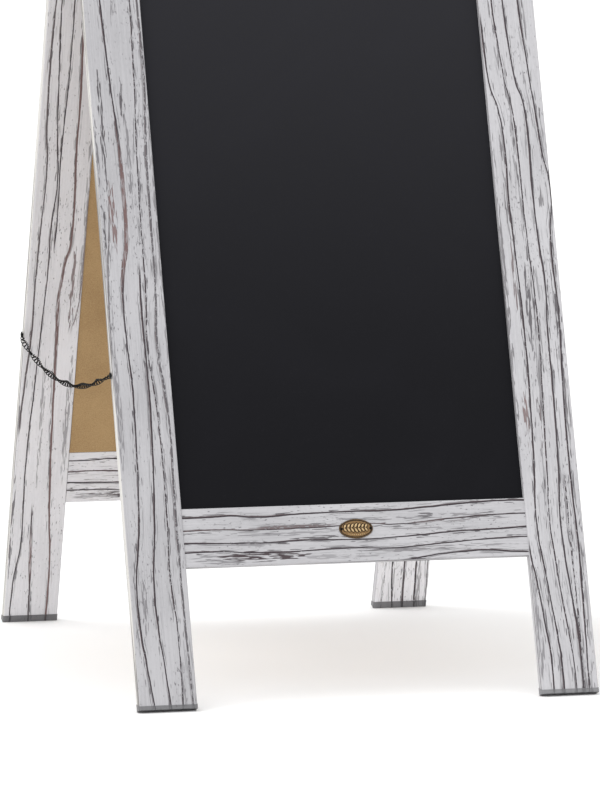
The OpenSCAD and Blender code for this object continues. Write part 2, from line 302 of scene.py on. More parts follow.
FRONT_RIGHT_PATCHES = [
    Patch(305, 10.5, 34, 3, dark=0.8, red=0.9),
    Patch(305, 26, 36, 2.4, dark=0.75, red=0.5),
    Patch(460, 12, 42, 2.6, dark=0.75, red=0.6),
    Patch(560, 10.7, 60, 2.2, dark=0.6, red=0.4),
    Patch(425, 25.5, 60, 3.4, dark=0.75),
    Patch(620, 26, 60, 4, dark=0.4),
    Patch(75, 2.5, 60, 5, dark=0.5),
    Patch(450, 1.5, 190, 2.5, dark=0.6),
    Patch(415, 57, 85, 2.6, dark=0.8),
    Patch(310, 58, 60, 3.5, dark=0.55, red=0.4),
    Patch(60, 3, 50, 5, dark=0.5),
    Patch(550, 51, 14, 4, dark=0.6),
]
REAR_LEFT_GRAIN = [
    Grain([(240, 2), (300, 4.5), (380, 8.8), (430, 8.4), (520, 11), (570, 12.4), (620, 9), (680, 7.5),
           (850, 10), (1016, 7)], width=2.3, dark=0.9, feather=2.0, gaps=0.35, red=0.3),
    Grain([(0, 6.5), (50, 8), (110, 14), (200, 12.8), (300, 16.4), (400, 20.5), (450, 22.2), (500, 22),
           (560, 25.6), (600, 22.4), (650, 19.8), (850, 15), (1016, 20)], width=1.7, feather=1.8, gaps=0.3),
    Grain([(470, 27.4), (520, 28.6), (590, 27.2), (680, 30.4), (800, 30)], width=1.7, feather=1.8, gaps=0.3),
    Grain([(0, 29), (50, 27.8), (100, 25.4), (150, 24.2)], width=2.0, gaps=0.2, red=0.3,
          bulge=(85, 45, 1.6)),
    Grain([(0, 49.4), (50, 50), (90, 49), (130, 45.4), (180, 42.8), (250, 40.4), (370, 37.8), (410, 36.8),
           (430, 38.4), (460, 42), (480, 46.4), (520, 47.2), (590, 44.8), (650, 44.8), (850, 40),
           (1016, 44)],
          width=2.8, feather=2.0, red=0.6, gaps=0.25, bulge=(400, 90, 1.6)),
    Grain([(370, 54), (385, 58), (420, 61.6), (540, 63)], width=1.8, dark=0.8, red=0.5, gaps=0.4),
]
REAR_LEFT_PATCHES = [
    Patch(425, 52, 55, 3.4, dark=0.8, red=0.7),
    Patch(270, 57, 90, 4, dark=0.5),
    Patch(120, 2.2, 80, 2.6, dark=0.75),
    Patch(265, 27.5, 90, 3, dark=0.45),
    Patch(340, 38, 80, 3.5, dark=0.4, red=0.7),
    Patch(520, 61, 150, 2.5, dark=0.5),
]
REAR_RIGHT_GRAIN = [
    Grain([(0, 8.2), (50, 9.6), (140, 12), (260, 8), (420, 13), (600, 9), (800, 14), (1016, 10)],
          width=1.4, dark=0.7, gaps=0.5),
    Grain([(0, 22), (25, 19.6), (60, 17.4), (150, 16), (300, 21), (450, 18), (640, 24), (820, 19),
           (1016, 22)],
          width=2.1, feather=3.0),
    Grain([(0, 34.4), (60, 32.2), (160, 31), (300, 35), (430, 31), (600, 36), (800, 33), (1016, 37)],
          width=2.7, dark=0.95, red=0.3, gaps=0.2),
    Grain([(0, 48.4), (60, 46.6), (180, 45), (320, 48), (470, 44), (640, 49), (830, 46), (1016, 49)],
          width=2.1, feather=4.0),
    Grain([(0, 62.2), (60, 60.6), (200, 58), (350, 61), (500, 57), (700, 60), (1016, 58)],
          width=1.5, dark=0.8),
]
REAR_RIGHT_PATCHES = [
    Patch(30, 52, 45, 4, dark=0.5),
    Patch(380, 27, 70, 5, dark=0.5, red=0.5),
    Patch(640, 40, 90, 5, dark=0.45),
]
# On a rail, along is X from the middle of the sign and across is measured down from its top edge.
BOTTOM_RAIL_GRAIN = [
    Grain([(-192, 10), (-160, 9.8), (-140, 8.8), (-110, 11.4), (-70, 9.8), (0, 8.6), (45, 8.5),
           (90, 5.8), (130, 3.2), (160, 1.9), (192, 2.4)], width=2.2, red=0.15, gaps=0.15, feather=2.2),
    Grain([(-192, 24.4), (-140, 24), (-125, 25), (-80, 25.2), (-20, 24.2), (18, 22.4), (45, 24.4),
           (75, 22.4), (110, 19.6), (160, 17.2), (192, 17)], width=1.5, gaps=0.3, feather=3.0),
    Grain([(-115, 24), (-80, 23.4), (-20, 22.8)], width=4.0, dark=0.8, red=0.4, gaps=0.42),
    Grain([(-192, 37.6), (-150, 38.8), (-100, 39.6), (-55, 38.4), (0, 39.4), (45, 38.4), (75, 36.4),
           (110, 34.2), (160, 32.8), (192, 31.2)], width=1.9, red=0.1, gaps=0.15, feather=2.4),
    Grain([(-192, 48), (-145, 48), (-125, 49.6), (-60, 50), (-10, 48.6), (45, 50), (75, 48.2), (120, 45.2),
           (165, 43), (192, 42.4)], width=1.7, red=0.1, gaps=0.3, feather=2.0),
    Grain([(48, 63.5), (75, 60.6), (95, 58), (120, 56.4), (150, 56), (170, 58), (192, 59.6)],
          width=1.9, red=0.15, gaps=0.2),
]
BOTTOM_RAIL_PATCHES = [
    Patch(-108, 54, 60, 6.4, dark=0.95, red=0.3),
    Patch(-140, 55, 45, 7, dark=0.45),
    Patch(-45, 36.4, 34, 3.2, dark=0.75),
    Patch(-90, 31, 60, 2, dark=0.4),
    Patch(75, 29.6, 34, 2, dark=0.4),
    Patch(30, 17.5, 80, 1.6, dark=0.5),
    Patch(80, 15, 12, 3, dark=0.7),
    Patch(120, 17, 40, 3.5, dark=0.45, red=0.6),
    Patch(55, 52, 60, 3, dark=0.5),
    Patch(130, 50, 60, 1.6, dark=0.4),
    Patch(-20, 57, 60, 3, dark=0.3),
]
TOP_RAIL_GRAIN = [
    Grain([(-192, 8), (-110, 6), (-40, 9), (30, 7), (110, 10), (192, 8)], width=1.9, gaps=0.2, red=0.3),
    Grain([(-192, 21), (-120, 23), (-60, 20), (20, 22.5), (100, 24), (192, 21)], width=1.6, gaps=0.35),
    Grain([(-192, 36), (-130, 34), (-50, 37.5), (40, 35), (120, 33.5), (192, 37)],
          width=2.2, gaps=0.25, red=0.4),
    Grain([(-192, 47), (-100, 49), (-20, 46.5), (60, 49.5), (192, 47)], width=1.4, gaps=0.35),
    Grain([(-192, 58), (-90, 56), (0, 59), (90, 57), (192, 60)], width=1.7, gaps=0.3),
]
TOP_RAIL_PATCHES = [Patch(-60, 28, 60, 3, dark=0.5, red=0.6), Patch(110, 43, 50, 4, dark=0.6)]


class Board:
    """A member's own millimetre coordinates, in its shader: along, across and through the wood."""

    def __init__(self, graph, side, is_rail, across_from):
        coordinates = graph.node("ShaderNodeTexCoord")
        place = graph.shifted(coordinates.outputs["Object"], tuple(-PIN))
        up, outward = panel_axes(side)
        x = graph.mul(graph.dot(place, (1, 0, 0)), 1 / MM)
        v = graph.add(graph.mul(graph.dot(place, tuple(up)), 1 / MM), PIN_V)
        self.through = graph.mul(graph.dot(place, tuple(outward)), 1 / MM)
        normal = coordinates.outputs["Normal"]
        across_x = graph.math("ABSOLUTE", graph.dot(normal, (1, 0, 0)))
        across_v = graph.math("ABSOLUTE", graph.dot(normal, tuple(up)))
        self.from_middle = graph.math("ABSOLUTE", x)
        if is_rail:
            self.along, self.across = x, graph.sub(across_from, v)
            edge, end = across_v, across_x
        else:
            self.along, self.across = v, graph.sub(x, across_from)
            edge, end = across_x, across_v
        self.is_inner = graph.ramp(graph.dot(normal, tuple(-outward)), 0.6, 0.8)
        self.is_edge = graph.ramp(edge, 0.6, 0.8)
        self.is_end = graph.ramp(end, 0.6, 0.8)


def stretched(graph, along, across, seed, along_scale, across_scale, **noise):
    """Noise drawn out along the grain. The scales are features per millimetre."""
    vector = graph.xyz(graph.mul(across, across_scale), graph.mul(along, along_scale), seed)
    return graph.noise(vector, **noise)


def loose_streaks(graph, board, grain, number, off, streaks):
    """The fine streaks beside a grain line, from its distance off. One side has more of them."""
    side_of_line = 1.0 if number % 2 else -1.0
    beside = graph.sub(graph.mul(off, side_of_line), grain.feather * 0.6)
    fringe = graph.ramp(graph.math("ABSOLUTE", beside), grain.feather, 0.0)
    pull = graph.mul(fringe, PULL)
    fine = stretched(graph, board.along, off, 3.7 * number, 0.022, 0.7, detail=1.0)
    fine = graph.mul(graph.ramp(graph.add(fine, pull), 0.63, 0.67), 0.5)
    hairs = graph.ramp(graph.add(streaks["hair"], pull), 0.665, 0.695, 0.0, 0.8)
    near = graph.ramp(graph.math("ABSOLUTE", off), grain.feather * 2.4, grain.feather)
    return graph.mul(graph.larger(fine, hairs), near)


def grain_mask(graph, board, grain, number, wobble, streaks, low, high):
    """How dark, and how red, one grain line makes each place, from 0 to 1."""
    length = high - low
    points = [((along - low) / length, across / RAIL_H) for along, across in grain.route]
    first, last = points[0][0], points[-1][0]
    if first > 0:
        points.insert(0, (0, points[0][1]))
    if last < 1:
        points.append((1, points[-1][1]))
    route = graph.curve(graph.math("DIVIDE", graph.sub(board.along, low), length), points)
    off = graph.sub(graph.add(board.across, wobble), graph.mul(route, RAIL_H))
    swell = graph.ramp(streaks["slow"], 0.3, 0.7, grain.width * THIN, grain.width * THICK)
    opened = 0.0
    if grain.bulge:
        middle, reach, extra = grain.bulge
        opened = graph.ramp(graph.math("ABSOLUTE", graph.sub(board.along, middle)), reach, reach * 0.3)
        swell = graph.add(swell, graph.mul(opened, extra / 2))
    core = graph.ramp(graph.math("ABSOLUTE", off), swell, graph.mul(swell, CORE))
    broken = graph.ramp(streaks["dash"], grain.gaps - 0.05, grain.gaps + 0.05, 0.75 - grain.gaps, 1.0)
    core = graph.mul(core, broken)
    mask = graph.larger(core, loose_streaks(graph, board, grain, number, off, streaks))
    start, end = low + first * length, low + last * length
    if first > 0:
        mask = graph.mul(mask, graph.ramp(board.along, start - FADE_PAST, start + FADE_WITHIN))
    if last < 1:
        mask = graph.mul(mask, graph.ramp(board.along, end + FADE_PAST, end - FADE_WITHIN))
    mask = graph.mul(mask, grain.dark)
    rusty_side = graph.ramp(off, 0.0, -0.45 * grain.width, 0.0, 0.55)
    redness = graph.mul(core, graph.larger(rusty_side, grain.red))
    if grain.bulge:
        redness = graph.larger(redness, graph.mul(core, graph.mul(opened, 0.6)))
        flecks = graph.ramp(streaks["hair"], 0.5, 0.56, 0.0, 0.5)
        mask = graph.sub(mask, graph.mul(graph.mul(flecks, opened), mask))
    return mask, redness


def patch_mask(graph, board, patch, wobble, streaks):
    """Streaks of bare grain inside an oval."""
    along = graph.math("DIVIDE", graph.sub(board.along, patch.along), patch.length)
    across = graph.math("DIVIDE", graph.sub(graph.add(board.across, wobble), patch.across), patch.width)
    reach = graph.add(graph.mul(along, along), graph.mul(across, across))
    inside = graph.ramp(reach, 1.2, 0.0)
    shown = graph.ramp(graph.add(streaks["hair"], graph.mul(inside, SCAR)), 0.62, 0.66)
    return graph.mul(graph.mul(shown, graph.ramp(reach, 1.2, 0.8)), patch.dark)


def bare_grain(graph, board, grains, patches, wobble, streaks, low, high):
    """How dark, and how red, the grain lines and worn places of a member make its faces."""
    dark = 0.0
    red = 0.0
    for number, grain in enumerate(grains):
        mask, redness = grain_mask(graph, board, grain, number, wobble, streaks, low, high)
        dark = graph.larger(dark, mask)
        red = graph.larger(red, redness)
    for patch in patches:
        mask = patch_mask(graph, board, patch, wobble, streaks)
        dark = graph.larger(dark, mask)
        if patch.red:
            red = graph.larger(red, graph.mul(mask, patch.red))
    return graph.mul(dark, graph.sub(1.0, board.is_edge)), red


def stray_marks(graph, board, streak, seed):
    """The small specks all over a member, the lines on its edges and the pores of its ends."""
    lines_on_edge = graph.ramp(streak(17.3, 0.004, 0.17, detail=1.0), 0.53, 0.6)
    lines_on_edge = graph.mul(graph.mul(lines_on_edge, 0.7), board.is_edge)
    end_grain = graph.noise(graph.xyz(board.across, board.through, seed), 0.8, 3.0)
    ends = graph.mul(graph.ramp(end_grain, 0.5, 0.62), graph.mul(board.is_end, 0.6))
    gather = graph.ramp(streak(41.3, 0.012, 0.05, detail=1.0), 0.46, 0.6, 0.0, 0.06)
    specks = graph.add(streak(23.5, 0.17, 0.7, detail=2.0, roughness=0.6), gather)
    specks = graph.ramp(specks, 0.695, 0.74, 0.0, 0.6)
    return graph.larger(specks, graph.larger(lines_on_edge, ends))


def brushed_wash(graph, board, streak, pores, painted_light_wash_greys):
    """The wash's colour, a little darker where the brush left less of it, with painted light: lighter on the
    inner faces.
    """
    cloud = streak(31.7, 0.008, 0.02, detail=3.0)
    mottle = streak(37.7, 0.22, 0.55, detail=1.0)
    brushing = graph.add(graph.mul(pores, 0.4), graph.add(graph.mul(mottle, 0.15), graph.mul(cloud, 0.45)))
    # Painted light: the inner faces get a lighter grey than the outer ones.
    shade, clear = [
        graph.mix(board.is_inner, *[srgb(tone - drop, tone - drop - 1, tone - drop + 2) for tone in painted_light_wash_greys])
        for drop in (BRUSH_SHADE, 0)
    ]
    return graph.mix(graph.ramp(brushing, 0.34, 0.66), shade, clear)


def wood(name, side, grains, patches, painted_light_wash_greys, seed, is_rail=False, across_from=0.0, dip=None):
    """Whitewash over brown wood whose deep grain lines show through, for one member.

    The wash's greys, outside and inside, are from 0 to 255, and hold painted light: the inside grey is
    painted lighter, and the greys differ between members as painted light. dip is the grey of a foot's skin.
    """
    material, graph = new_graph(name)
    board = Board(graph, side, is_rail, across_from)
    low, high = (-RAIL_REACH, RAIL_REACH) if is_rail else (0.0, PANEL_H)
    edge_across = graph.add(graph.mul(board.through, 2.1), 9.0 * seed)
    across = graph.add(graph.mul(board.across, graph.sub(1.0, board.is_edge)),
                       graph.mul(edge_across, board.is_edge))

    def streak(offset, along_scale, across_scale, **noise):
        return stretched(graph, board.along, across, seed + offset, along_scale, across_scale, **noise)

    streaks = {
        "slow": streak(3.1, 0.018, 0.05, detail=1.0),
        "dash": streak(5.3, 0.20, 0.5, detail=2.0, roughness=0.6),
        "hair": streak(7.7, 0.055, 0.72, detail=1.0, roughness=0.6),
    }
    tremble = streak(11.9, 0.05, 0.09, detail=3.0, roughness=0.6)
    wobble = graph.mul(graph.sub(tremble, 0.5), TREMBLE)

    dark, red = bare_grain(graph, board, grains, patches, wobble, streaks, low, high)
    dark = graph.larger(dark, stray_marks(graph, board, streak, seed))
    pores = streak(29.1, 0.012, 0.9, detail=2.0, roughness=0.6)
    wash = brushed_wash(graph, board, streak, pores, painted_light_wash_greys)
    if not is_rail:
        outer = graph.mul(graph.ramp(board.from_middle, *OUTER_EDGE), board.is_edge)
        wash = graph.mix(outer, wash, EDGE_WASH)
    grain_color = graph.mix(graph.ramp(red, 0.15, 0.7), GRAIN_DARK, GRAIN_RED)
    color = graph.mix(dark, wash, grain_color)
    roughness = graph.add(graph.mul(dark, 0.18), 0.62)
    if dip:
        color = graph.mix(DIP_COVER, color, srgb(dip, dip, dip + 2))
        roughness = 0.42
    height = graph.sub(graph.mul(pores, 0.12), dark)
    graph.surface(color, roughness, height, WOOD_RELIEF, Specular_IOR_Level=0.35)
    return material


# For each stile: its side, grain, patches, seed, and the greys of its wash and of its foot's skin. The
# wash's greys, outside then inside, hold painted light: inner faces are painted lighter than outer ones, and
# the right-hand stiles mostly lighter than the left-hand ones.
STILES = {
    "front_left": (FRONT, FRONT_LEFT_GRAIN, FRONT_LEFT_PATCHES, 1.3, (179, 217), 92),
    "front_right": (FRONT, FRONT_RIGHT_GRAIN, FRONT_RIGHT_PATCHES, 2.6, (191, 217), 110),
    "rear_left": (REAR, REAR_LEFT_GRAIN, REAR_LEFT_PATCHES, 3.9, (182, 217), 60),
    "rear_right": (REAR, REAR_RIGHT_GRAIN, REAR_RIGHT_PATCHES, 5.2, (188, 240), 72),
}


def dress_wood():
    for name, (side, grains, patches, seed, painted_light_wash_greys, dip) in STILES.items():
        across_from = PANEL_LEFT if "left" in name else -PANEL_LEFT - STILE_W
        put_on(f"{name}_stile", wood(f"{name}_stile_wood", side, grains, patches, painted_light_wash_greys, seed,
                                     across_from=across_from))
        put_on(f"{name}_foot", wood(f"{name}_foot_dip", side, grains, patches, painted_light_wash_greys, seed,
                                    across_from=across_from, dip=dip))
    # The rails' wash greys hold the same painted light: their inner faces are painted lighter.
    for name, side, painted_light_wash_greys, seed in (("front", FRONT, (185, 217), 6.5), ("rear", REAR, (184, 217), 7.8)):
        put_on(f"{name}_bottom_rail", wood(f"{name}_bottom_rail_wood", side, BOTTOM_RAIL_GRAIN,
                                           BOTTOM_RAIL_PATCHES, painted_light_wash_greys, seed, True, LEG_H + RAIL_H))
        put_on(f"{name}_top_rail", wood(f"{name}_top_rail_wood", side, TOP_RAIL_GRAIN,
                                        TOP_RAIL_PATCHES, painted_light_wash_greys, seed + 1.9, True, PANEL_H))


def put_on(node, material):
    """Gives a CAD node one material."""
    mesh = frame["nodes"][node].data
    mesh.materials.clear()
    mesh.materials.append(material)


# ---- plainer materials ------------------------------------------------------------

def object_place(graph):
    return graph.node("ShaderNodeTexCoord").outputs["Object"]


def chalk_surface(side):
    """Matt black board paint, a little lighter towards its top as a painted reflection, with wiped chalk
    clouding and dust.
    """
    material, graph = new_graph("chalk_surface_front" if side == FRONT else "chalk_surface_rear")
    place = object_place(graph)
    height = graph.dot(place, (0, 0, 1))
    # Painted reflection: the board is painted lighter towards its top, as the lamps' reflection would make
    # it.
    rise = graph.ramp(height, 0.2, 0.95)
    wiping = graph.noise(place, 5.0, 3.0, 0.6, 1.2)
    dust = graph.noise(place, 240.0, 2.0, 0.6)
    # Mixes the painted reflection with the real wiping marks and chalk dust.
    chalk_haze_and_painted_sheen = graph.add(graph.mul(rise, 0.75), graph.mul(graph.ramp(wiping, 0.35, 0.75), 0.1))
    chalk_haze_and_painted_sheen = graph.add(chalk_haze_and_painted_sheen, graph.mul(graph.ramp(dust, 0.6, 0.8), 0.1))
    color = graph.mix(chalk_haze_and_painted_sheen, srgb(14, 14, 18), srgb(46, 46, 50))
    grit = graph.noise(place, 900.0, 2.0, 0.5)
    graph.surface(color, graph.ramp(wiping, 0.3, 0.7, 0.72, 0.85), grit, 0.00006, Specular_IOR_Level=0.12)
    return material


def fibreboard():
    """Raw medium-density fibreboard: fine pale and dark fibres pressed flat."""
    material, graph = new_graph("fibreboard")
    place = object_place(graph)
    fibres = graph.noise(place, 900.0, 4.0, 0.7)
    blotches = graph.noise(place, 25.0, 2.0, 0.5)
    tone = graph.add(graph.mul(fibres, 0.75), graph.mul(blotches, 0.25))
    color = graph.mix(graph.ramp(tone, 0.34, 0.66), srgb(150, 122, 86), srgb(174, 146, 106))
    flecks = graph.ramp(graph.noise(place, 420.0, 3.0, 0.7), 0.64, 0.72)
    color = graph.mix(graph.mul(flecks, 0.3), color, srgb(110, 86, 58))
    graph.surface(color, 0.85, fibres, 0.00012, Specular_IOR_Level=0.25)
    return material


def beech():
    """The dowels' plain beech."""
    material, graph = new_graph("beech")
    place = object_place(graph)
    fleck = graph.noise(graph.xyz(graph.dot(place, (90, 0, 0)), graph.dot(place, (0, 900, 0)),
                                  graph.dot(place, (0, 0, 900))), 1.0, 3.0, 0.6)
    color = graph.mix(graph.ramp(fleck, 0.35, 0.65), srgb(176, 140, 98), srgb(214, 182, 138))
    graph.surface(color, 0.6, fleck, 0.0001, Specular_IOR_Level=0.3)
    return material


def aged_metal(name, base, worn, dirt, metallic, rough, shine=0.5):
    """Metal whose finish has rubbed bright in places and dulled in others."""
    material, graph = new_graph(name)
    place = object_place(graph)
    tarnish = graph.noise(place, 260.0, 4.0, 0.65, 0.5)
    scuffs = graph.noise(place, 1400.0, 3.0, 0.6)
    color = graph.mix(graph.ramp(tarnish, 0.35, 0.65), dirt, base)
    color = graph.mix(graph.mul(graph.ramp(scuffs, 0.58, 0.72), 0.6), color, worn)
    roughness = graph.ramp(tarnish, 0.3, 0.7, rough + 0.18, rough)
    graph.surface(color, roughness, scuffs, 0.00004, Metallic=metallic, Specular_IOR_Level=shine)
    return material


def dress_boards_and_metal():
    fibre = fibreboard()
    bronze = aged_metal("antique_bronze", srgb(112, 88, 56), srgb(170, 138, 88), srgb(52, 42, 32), 1.0, 0.34)
    black = aged_metal("black_oxide", srgb(7, 7, 7), srgb(22, 21, 22), srgb(4, 4, 4), 0.0, 0.4, 0.12)
    dowel_wood = beech()
    for name, side in (("front", FRONT), ("rear", REAR)):
        put_on(f"{name}_backing", fibre)
        put_on(f"{name}_chalkboard", chalk_surface(side))
        put_on(f"{name}_dowels", dowel_wood)
        put_on(f"{name}_hinge_screws", bronze)
        put_on(f"{name}_chain_screw", black)
    for name in ("left", "right"):
        for part in ("front_leaf", "rear_leaf", "pin"):
            put_on(f"{name}_hinge_{part}", bronze)
    put_on("badge_nails", black)
    return black


# ---- mesh making ------------------------------------------------------------------

def new_piece(name, verts, faces, material, smooth=True):
    """A mesh object from plain lists, at the origin of the shared frame."""
    mesh = bpy.data.meshes.new(name)
    mesh.from_pydata([tuple(v) for v in verts], [], faces)
    mesh.materials.append(material)
    mesh.update()
    tidy = bmesh.new()
    tidy.from_mesh(mesh)
    bmesh.ops.recalc_face_normals(tidy, faces=tidy.faces)
    tidy.to_mesh(mesh)
    tidy.free()
    for polygon in mesh.polygons:
        polygon.use_smooth = smooth
    piece = bpy.data.objects.new(name, mesh)
    bpy.context.scene.collection.objects.link(piece)
    return piece


# ---- chain ------------------------------------------------------------------------

LINK_PITCH = 0.009
LINK_W = 0.0072
LINK_WIRE = 0.00105
CHAIN_SAG = 0.030
EYE_OUT = 0.0007                # from the stiles' side to the middle of the first link
HANG_OUT = 0.0042               # from the stiles' side to the hanging chain
HANG_SHARE = 0.05               # share of the span over which it moves out to there
LINK_LAY = math.radians(38)     # how far a curb link's ends are twisted, each from its middle
LINK_BLUNT = 0.9                # how blunt a link's ends are: 1 is an ellipse, and less is blunter
# Turn of the chain about its own line, in half turns, at shares of its span from the front screw.
TWIST = [(0.0, -1.0), (0.17, 0.4), (0.36, 1.5), (0.53, 2.6), (0.71, 3.7), (0.87, 4.8), (1.0, 6.0)]
CHAIN_START = Vector(JOINTS["front_strand_swing"]["pos_m"])
CHAIN_END = Vector(JOINTS["rear_strand_swing"]["pos_m"])
CHAIN_SPAN = (CHAIN_END - CHAIN_START).length
FRONT_SHARE = (JOINTS["bottom_links_turn"]["pos_m"][1] - CHAIN_START.y) / (CHAIN_END.y - CHAIN_START.y)


def chain_point(t):
    """A point of the slack chain's line, from the front screw at t = 0 to the rear one at t = 1."""
    point = CHAIN_START.lerp(CHAIN_END, t)
    point.z -= 4 * CHAIN_SAG * t * (1 - t)
    rise = min(1.0, min(t, 1 - t) / HANG_SHARE)
    point.x = PANEL_LEFT * MM - EYE_OUT - (HANG_OUT - EYE_OUT) * rise * rise * (3 - 2 * rise)
    return point


def twist_at(t):
    """The chain's turn about its own line, in radians."""
    for (t0, turn0), (t1, turn1) in zip(TWIST, TWIST[1:]):
        if t <= t1:
            return math.pi * (turn0 + (turn1 - turn0) * (t - t0) / (t1 - t0))
    return math.pi * TWIST[-1][1]


def even_shares(count):
    """Shares t that cut the chain's line into count equal lengths."""
    steps = 4000
    points = [chain_point(i / steps) for i in range(steps + 1)]
    lengths = [0.0]
    for a, b in zip(points, points[1:]):
        lengths.append(lengths[-1] + (b - a).length)
    shares = []
    step = 0
    for i in range(count + 1):
        wanted = lengths[-1] * i / count
        while step < steps and lengths[step + 1] < wanted:
            step += 1
        shares.append(min(1.0, step / steps))
    return shares


def add_link(verts, faces, centre, along, wide, turn_start, turn_end):
    """One curb link: a rounded ring of wire whose two ends are twisted apart."""
    around, sides = 20, 7
    flat = along.cross(wide).normalized()
    half_long = LINK_PITCH / 2 + LINK_WIRE / 2
    half_wide = (LINK_W - LINK_WIRE) / 2

    def ring_point(angle):
        reach = math.copysign(abs(math.cos(angle)) ** LINK_BLUNT, math.cos(angle))
        turn = turn_start + (turn_end - turn_start) * (1 + reach) / 2
        width_axis = wide * math.cos(turn) + flat * math.sin(turn)
        return centre + along * half_long * reach + width_axis * half_wide * math.sin(angle)

    first = len(verts)
    for i in range(around):
        angle = math.tau * i / around
        point = ring_point(angle)
        tangent = (ring_point(angle + 0.02) - ring_point(angle - 0.02)).normalized()
        out = (point - centre).normalized()
        out = (out - tangent * out.dot(tangent)).normalized()
        beside = tangent.cross(out)
        for j in range(sides):
            turn = math.tau * j / sides
            verts.append(point + (out * math.cos(turn) + beside * math.sin(turn)) * LINK_WIRE / 2)
    for i in range(around):
        for j in range(sides):
            a, b = first + i * sides, first + (i + 1) % around * sides
            k = (j + 1) % sides
            faces.append((a + j, a + k, b + k, b + j))


def chain(material):
    """The slack chain as real links, each run riding on its own body."""
    count = round(CHAIN_SPAN * (1 + 8 / 3 * (CHAIN_SAG / CHAIN_SPAN) ** 2) / LINK_PITCH)
    shares = even_shares(count)
    runs = {"front": ([], []), "bottom": ([], []), "rear": ([], [])}
    across = Vector((1, 0, 0))
    for i in range(count):
        t = (shares[i] + shares[i + 1]) / 2
        start, end = chain_point(shares[i]), chain_point(shares[i + 1])
        along = (end - start).normalized()
        in_plane = across.cross(along).normalized()
        turn = twist_at(t)
        wide = in_plane * math.cos(turn) + along.cross(in_plane) * math.sin(turn)
        run = "front" if t < FRONT_SHARE else "rear" if t > 1 - FRONT_SHARE else "bottom"
        verts, faces = runs[run]
        add_link(verts, faces, (start + end) / 2, along, wide,
                 0.0 if i == 0 else -LINK_LAY, 0.0 if i == count - 1 else LINK_LAY)
    bodies = {"front": "front_strand", "bottom": "bottom_links", "rear": "rear_strand"}
    for run, (verts, faces) in runs.items():
        piece = new_piece(f"{run}_run_of_links", verts, faces, material)
        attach(piece, bodies[run])
        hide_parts(f"chain_{run}")


# ---- badge ------------------------------------------------------------------------

BADGE_HALF_W = 18.75
BADGE_HALF_H = 10.75
BADGE_END_R = 7.0                # radius of the outline's two ends
BADGE_RIM = 1.3                  # width of the raised rim
BADGE_FLUTE = 0.9                # width of the hollow inside the rim and around each leaf
BADGE_SIDE = 0.7                 # height of the rim's foot over the rail
BADGE_FIELD = 0.95               # height of the field at its edge
BADGE_DOME = 0.2                 # how much higher the field and the rim are at their tops
BADGE_RELIEF = 0.65              # height of leaves and beads over the field
BADGE_HOLLOW = 0.4               # depth of the hollows below it
LEAF_STEP = 3.9
LEAF_LENGTH = 6.2
LEAF_SHORTER = 0.5               # how much shorter each leaf is than the one nearer the middle
LEAF_HALF_W = 1.15
LEAF_ANGLE = math.radians(58)
BEAD_STEP = 2.1
BEAD_R = 0.75
BEAD_DROP = 6.6                  # from the badge's middle down to the middle bead
BEAD_CURVE = 0.012               # how fast the row of beads rises to its sides


def badge_height(x, y, edge):
    """Height of the badge's face over its back, from the place and the distance to its edge."""
    if edge < BADGE_RIM:
        return BADGE_SIDE + BADGE_DOME * math.sin(math.pi * edge / BADGE_RIM)
    field = BADGE_FIELD + BADGE_DOME * (1 - (x / BADGE_HALF_W) ** 2 - (y / BADGE_HALF_H) ** 2)
    raised, hollow = leaves(x, y)
    raised = max(raised, beads(x, y))
    if edge < BADGE_RIM + BADGE_FLUTE:
        hollow = 1.0
    return field + BADGE_RELIEF * raised if raised > 0.05 else field - BADGE_HOLLOW * hollow


def leaves(x, y):
    """How raised a place is by a row of slanting leaves, and how hollow beside them, from 0 to 1."""
    raised = hollow = 0.0
    for i in range(-3, 4):
        for direction in (-1, 1):
            root_x, root_y = LEAF_STEP * i - 1.6, 1.0
            length = LEAF_LENGTH - LEAF_SHORTER * abs(i)
            angle = LEAF_ANGLE * direction
            dx, dy = x - root_x, y - root_y
            forward = dx * math.cos(angle) + dy * math.sin(angle)
            sideways = -dx * math.sin(angle) + dy * math.cos(angle)
            share = (forward - length / 2) / (length / 2)
            half = LEAF_HALF_W * max(0.0, 1 - share * share)
            if abs(sideways) < half:
                raised = max(raised, (1 - (sideways / half) ** 2) ** 0.5)
            if abs(sideways) < half + BADGE_FLUTE and abs(share) < 1.15:
                hollow = 1.0
    return raised, hollow


def beads(x, y):
    """How raised a place is by a row of small beads along the bottom, from 0 to 1."""
    best = 0.0
    for i in range(-4, 5):
        bead_x = BEAD_STEP * i
        away = math.hypot(x - bead_x, y + BEAD_DROP - BEAD_CURVE * bead_x ** 2)
        best = max(best, 1 - (away / BEAD_R) ** 2)
    return best


def badge_metal():
    """Antiqued brass: dark in the hollows, brown on the field, gold on what stands up."""
    material, graph = new_graph("badge_brass")
    place = graph.shifted(object_place(graph), tuple(-panel_point(FRONT, 0, RAIL_INSET + RAIL_T, BADGE_V)))
    lift = graph.mul(graph.dot(place, tuple(panel_axes(FRONT)[1])), 1 / MM)
    grime = graph.noise(place, 700.0, 4.0, 0.65, 0.4)
    lift = graph.add(lift, graph.mul(graph.sub(grime, 0.5), 0.3))
    color = graph.mix(graph.ramp(lift, 0.72, 0.98), srgb(40, 31, 22), srgb(128, 101, 66))
    color = graph.mix(graph.ramp(lift, 1.2, 1.6), color, srgb(190, 164, 122))
    rough = graph.ramp(lift, 0.8, 1.6, 0.6, 0.34)
    graph.surface(color, rough, grime, 0.00005, Metallic=0.6)
    return material


